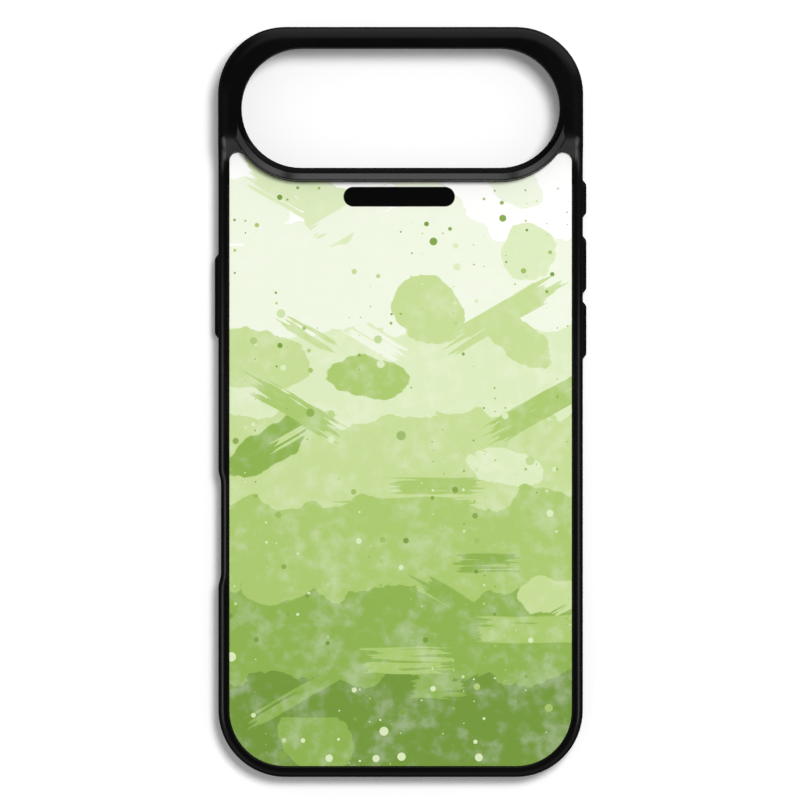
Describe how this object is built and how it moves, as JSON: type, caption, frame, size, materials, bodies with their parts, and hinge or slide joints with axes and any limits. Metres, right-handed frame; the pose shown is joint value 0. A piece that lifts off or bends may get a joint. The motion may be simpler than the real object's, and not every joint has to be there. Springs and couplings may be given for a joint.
{
  "type": "phone case",
  "caption": "Soft bumper phone case with a printed back panel in a raised border, a raised ring round a wide camera opening, press-through button covers and port cut-outs.",
  "frame": {"origin": "centre of the case on the plane of its front lip, which it rests on with the screen opening down", "axes": "+Z out of the printed back; +Y towards the camera end; +X towards the edge with the action and volume button covers"},
  "size_m": [0.0788, 0.1588, 0.0126],
  "materials": {
    "soft_shell": "satin moulded soft polyurethane",
    "button_cover": "satin moulded soft polyurethane",
    "adhesive": "clear tacky sheet",
    "panel": "smooth dark sheet",
    "print": "glossy full-colour print"
  },
  "bodies": {
    "case": {"bumper_shell": "soft_shell", "adhesive_sheet": "adhesive", "back_panel": "panel", "print_layer": "print", "side_button_web": "soft_shell", "action_button_web": "soft_shell", "volume_up_button_web": "soft_shell", "volume_down_button_web": "soft_shell"},
    "side_button": {"side_button_cover": "button_cover"},
    "action_button": {"action_button_cover": "button_cover"},
    "volume_up_button": {"volume_up_button_cover": "button_cover"},
    "volume_down_button": {"volume_down_button_cover": "button_cover"}
  },
  "joints": [
    {"name": "side_button_press", "type": "slide", "parent": "case", "child": "side_button", "axis": [1, 0, 0], "range_m": [0, 0.00035], "stiffness_N_per_m": 1000, "deforming": ["side_button_web"]},
    {"name": "action_button_press", "type": "slide", "parent": "case", "child": "action_button", "axis": [-1, 0, 0], "range_m": [0, 0.00035], "stiffness_N_per_m": 1000, "deforming": ["action_button_web"]},
    {"name": "volume_up_button_press", "type": "slide", "parent": "case", "child": "volume_up_button", "axis": [-1, 0, 0], "range_m": [0, 0.00035], "stiffness_N_per_m": 1000, "deforming": ["volume_up_button_web"]},
    {"name": "volume_down_button_press", "type": "slide", "parent": "case", "child": "volume_down_button", "axis": [-1, 0, 0], "range_m": [0, 0.00035], "stiffness_N_per_m": 1000, "deforming": ["volume_down_button_web"]}
  ]
}
